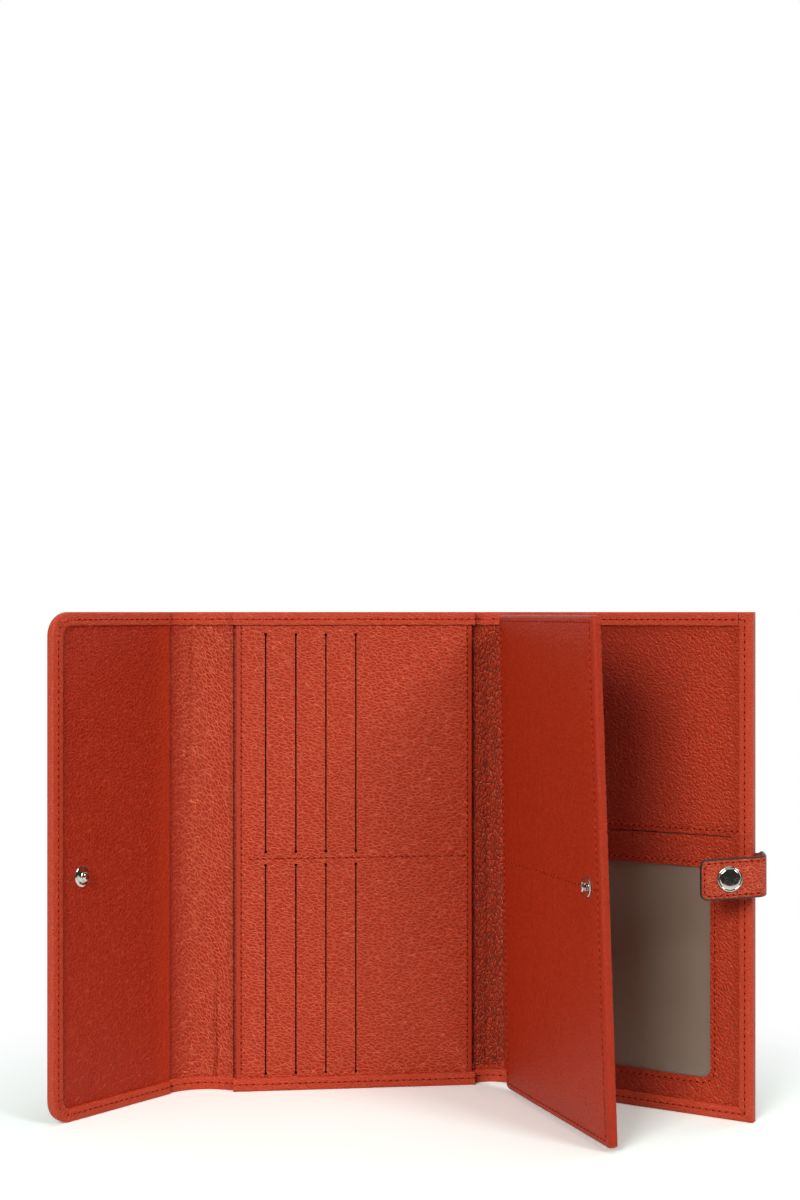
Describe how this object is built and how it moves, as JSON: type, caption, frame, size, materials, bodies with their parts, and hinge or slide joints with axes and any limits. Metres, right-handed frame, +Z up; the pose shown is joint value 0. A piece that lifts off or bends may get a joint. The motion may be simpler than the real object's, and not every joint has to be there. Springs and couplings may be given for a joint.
{
  "type": "travel wallet",
  "caption": "Open folding leather travel wallet with card slits, a hinged page, a passport panel with a clear window and a snap closure tab.",
  "frame": {"origin": "centre of the outline on the floor that the open wallet stands on", "axes": "+Z up, +X along the middle panel towards the passport panel, -Y towards the viewer of the inside"},
  "size_m": [0.2786, 0.1116, 0.2],
  "materials": {
    "cover_leather": "fine grain, turned and stitched edges",
    "panel_leather": "fine grain",
    "pocket_cloth": "thin plain cloth",
    "satin_lining": "satin",
    "board": "grey card",
    "clear_film": "clear, glossy",
    "nickel": "polished nickel"
  },
  "bodies": {
    "middle_panel": {"middle_cover": "cover_leather", "middle_board": "board", "note_pocket_lining": "pocket_cloth", "middle_upper_pocket_lining_1": "pocket_cloth", "middle_upper_pocket_lining_2": "pocket_cloth", "middle_upper_pocket_lining_3": "pocket_cloth", "middle_upper_pocket_lining_4": "pocket_cloth", "middle_lower_pocket_lining_1": "pocket_cloth", "middle_lower_pocket_lining_2": "pocket_cloth", "middle_lower_pocket_lining_3": "pocket_cloth", "middle_lower_pocket_lining_4": "pocket_cloth", "card_panel_leather": "panel_leather"},
    "flap_spine": {"flap_spine_cover": "cover_leather", "flap_spine_lining": "panel_leather"},
    "flap": {"flap_cover": "cover_leather", "flap_board": "board", "flap_lining": "panel_leather", "flap_stud": "nickel", "flap_stud_post": "nickel"},
    "spine": {"spine_cover": "cover_leather", "spine_lining_strip": "panel_leather", "leaf_hinge_tongue": "panel_leather"},
    "passport_panel": {"passport_cover": "cover_leather", "passport_board": "board", "passport_pocket_lining": "satin_lining", "window_film": "clear_film", "passport_panel_leather": "panel_leather", "outer_socket": "nickel", "outer_socket_post": "nickel", "tab_root": "cover_leather"},
    "tab": {"tab_leather": "cover_leather", "tab_lining": "panel_leather", "tab_cap": "nickel", "tab_socket": "nickel"},
    "leaf_strip": {"leaf_hinge_strip": "panel_leather"},
    "leaf": {"leaf_front_leather": "panel_leather", "leaf_back_leather": "panel_leather", "leaf_core_lining": "pocket_cloth", "leaf_upper_pocket_lining_1": "pocket_cloth", "leaf_upper_pocket_lining_2": "pocket_cloth", "leaf_upper_pocket_lining_3": "pocket_cloth", "leaf_upper_pocket_lining_4": "pocket_cloth", "leaf_lower_pocket_lining_1": "pocket_cloth", "leaf_lower_pocket_lining_2": "pocket_cloth", "leaf_lower_pocket_lining_3": "pocket_cloth", "leaf_lower_pocket_lining_4": "pocket_cloth", "leaf_stud": "nickel", "leaf_stud_post": "nickel"}
  },
  "joints": [
    {"name": "flap_spine_fold", "type": "hinge", "parent": "middle_panel", "child": "flap_spine", "pos_m": [-0.06725, 0.05163, 0.1], "axis": [0, 0, 1], "range_deg": [-4.6, 85.4]},
    {"name": "flap_fold", "type": "hinge", "parent": "flap_spine", "child": "flap", "pos_m": [-0.09337, 0.04953, 0.1], "axis": [0, 0, 1], "range_deg": [-39.3, 50.7]},
    {"name": "spine_fold", "type": "hinge", "parent": "middle_panel", "child": "spine", "pos_m": [0.03695, 0.05163, 0.1], "axis": [0, 0, -1], "range_deg": [-25, 65]},
    {"name": "passport_panel_fold", "type": "hinge", "parent": "spine", "child": "passport_panel", "pos_m": [0.05517, 0.04313, 0.1], "axis": [0, 0, -1], "range_deg": [-12.5, 77.5]},
    {"name": "tab_fold", "type": "hinge", "parent": "passport_panel", "child": "tab", "pos_m": [0.13877, -0.01875, 0.1], "axis": [0, 0, -1], "range_deg": [-115, 28]},
    {"name": "leaf_strip_fold", "type": "hinge", "parent": "spine", "child": "leaf_strip", "pos_m": [0.04778, 0.04316, 0.1], "axis": [0, 0, -1], "range_deg": [-10, 62]},
    {"name": "leaf_turn", "type": "hinge", "parent": "leaf_strip", "child": "leaf", "pos_m": [0.04672, 0.03593, 0.1], "axis": [0, 0, 1], "range_deg": [-108, 26.9]}
  ],
  "couplings": [
    {"joint": "leaf_strip_fold", "follows": "passport_panel_fold", "ratio": 0.8}
  ]
}
